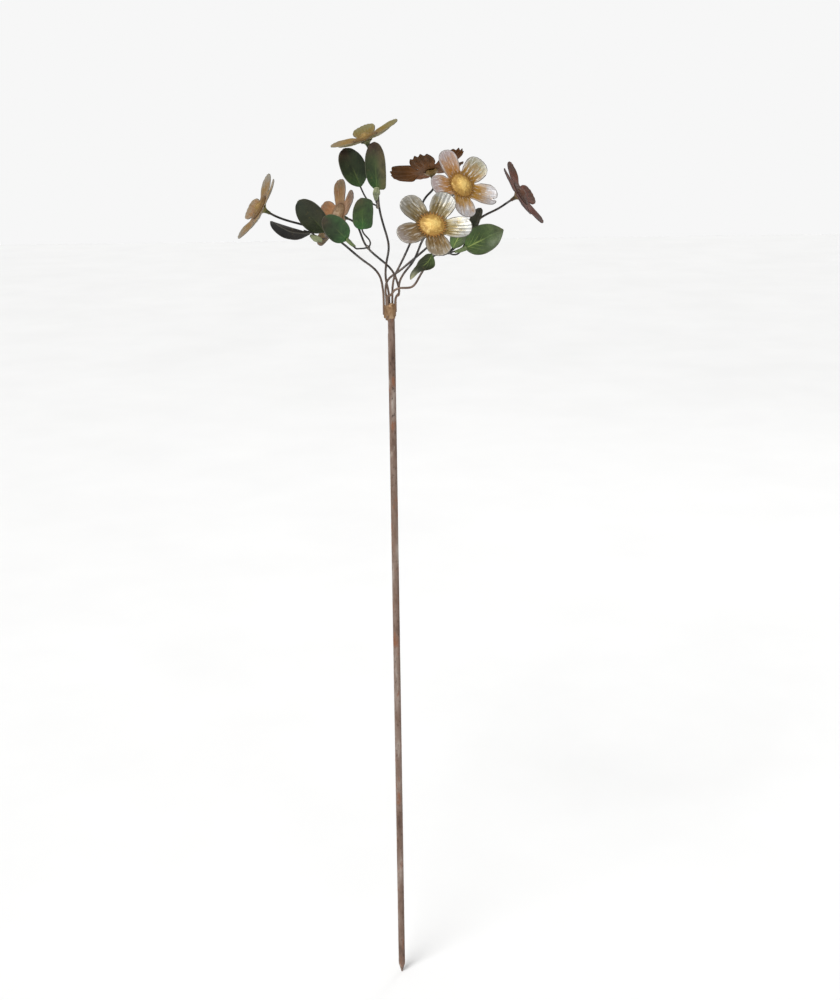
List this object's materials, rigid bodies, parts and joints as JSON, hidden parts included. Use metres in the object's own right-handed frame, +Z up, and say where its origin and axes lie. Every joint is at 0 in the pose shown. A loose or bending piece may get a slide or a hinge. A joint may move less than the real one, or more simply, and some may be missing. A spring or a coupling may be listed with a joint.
{
  "type": "wind spinner",
  "caption": "Garden stake with free-turning sheet-metal flowers and fixed leaves on bent wires brazed to the top of a ground rod.",
  "frame": {"origin": "on the rod's axis at the ground line, where the stake enters the soil", "axes": "+Z up along the rod, -Y towards the viewer of the front, +X to that viewer's right"},
  "size_m": [0.3315, 0.1966, 1.0368],
  "materials": {
    "rusted_rod": "rusted, rough",
    "dark_wire": "dark heat scale, satin",
    "bronze_braze": "as cast, satin",
    "solder": "satin",
    "brass_bush": "satin",
    "gold_button": "crumpled foil, bright",
    "green_calyx": "satin lacquer",
    "green_leaf": "satin lacquer",
    "petal_one": "translucent lacquer over bright metal",
    "petal_two": "translucent lacquer over bright metal",
    "petal_three": "translucent lacquer over bright metal",
    "petal_four": "translucent lacquer over bright metal",
    "petal_five": "translucent lacquer over bright metal",
    "petal_six": "translucent lacquer over bright metal",
    "petal_seven": "translucent lacquer over bright metal"
  },
  "bodies": {
    "stand": {"stake_rod": "rusted_rod", "braze_joint": "bronze_braze", "solder_joints": "solder", "wire_one": "dark_wire", "wire_two": "dark_wire", "wire_three": "dark_wire", "wire_four": "dark_wire", "wire_five": "dark_wire", "wire_six": "dark_wire", "wire_seven": "dark_wire", "calyx_one": "green_calyx", "calyx_two": "green_calyx", "calyx_three": "green_calyx", "calyx_four": "green_calyx", "calyx_five": "green_calyx", "calyx_six": "green_calyx", "calyx_seven": "green_calyx", "leaf_upper_left": "green_leaf", "leaf_upper_right": "green_leaf", "leaf_middle": "green_leaf", "leaf_left_high": "green_leaf", "leaf_left_inner": "green_leaf", "leaf_left_low": "green_leaf", "leaf_right_broad": "green_leaf", "leaf_right_upright": "green_leaf", "leaf_right_inner": "green_leaf", "leaf_right_curled": "green_leaf", "stalk_upper": "dark_wire", "stalk_upright": "dark_wire", "stalk_middle": "dark_wire", "stalk_left": "dark_wire", "stalk_right": "dark_wire", "stalk_right_pair": "dark_wire", "stalk_right_curled": "dark_wire"},
    "flower_one": {"rosette_one": "petal_one", "hub_bush_one": "brass_bush", "button_one": "gold_button"},
    "flower_two": {"rosette_two": "petal_two", "hub_bush_two": "brass_bush", "button_two": "gold_button"},
    "flower_three": {"rosette_three": "petal_three", "hub_bush_three": "brass_bush", "button_three": "gold_button"},
    "flower_four": {"rosette_four": "petal_four", "hub_bush_four": "brass_bush", "button_four": "gold_button"},
    "flower_five": {"rosette_five": "petal_five", "hub_bush_five": "brass_bush", "button_five": "gold_button"},
    "flower_six": {"rosette_six": "petal_six", "hub_bush_six": "brass_bush", "button_six": "gold_button"},
    "flower_seven": {"rosette_seven": "petal_seven", "hub_bush_seven": "brass_bush", "button_seven": "gold_button"}
  },
  "joints": [
    {"name": "flower_one_spin", "type": "hinge", "parent": "stand", "child": "flower_one", "pos_m": [-0.136, -0.01, 0.797], "axis": [-0.8325, -0.2387, 0.5], "continuous": true},
    {"name": "flower_two_spin", "type": "hinge", "parent": "stand", "child": "flower_two", "pos_m": [-0.024, 0.01, 0.866], "axis": [-0.3422, -0.1524, 0.9272], "continuous": true},
    {"name": "flower_three_spin", "type": "hinge", "parent": "stand", "child": "flower_three", "pos_m": [-0.056, 0.046, 0.784], "axis": [-0.8187, -0.4353, 0.3746], "continuous": true},
    {"name": "flower_four_spin", "type": "hinge", "parent": "stand", "child": "flower_four", "pos_m": [0.046, 0.052, 0.83], "axis": [-0.2155, 0.3449, 0.9135], "continuous": true},
    {"name": "flower_five_spin", "type": "hinge", "parent": "stand", "child": "flower_five", "pos_m": [0.076, -0.006, 0.817], "axis": [0.4542, -0.7269, 0.515], "continuous": true},
    {"name": "flower_six_spin", "type": "hinge", "parent": "stand", "child": "flower_six", "pos_m": [0.043, -0.07, 0.782], "axis": [0.1066, -0.7586, 0.6428], "continuous": true},
    {"name": "flower_seven_spin", "type": "hinge", "parent": "stand", "child": "flower_seven", "pos_m": [0.142, 0.03, 0.805], "axis": [0.811, -0.2479, 0.5299], "continuous": true}
  ]
}
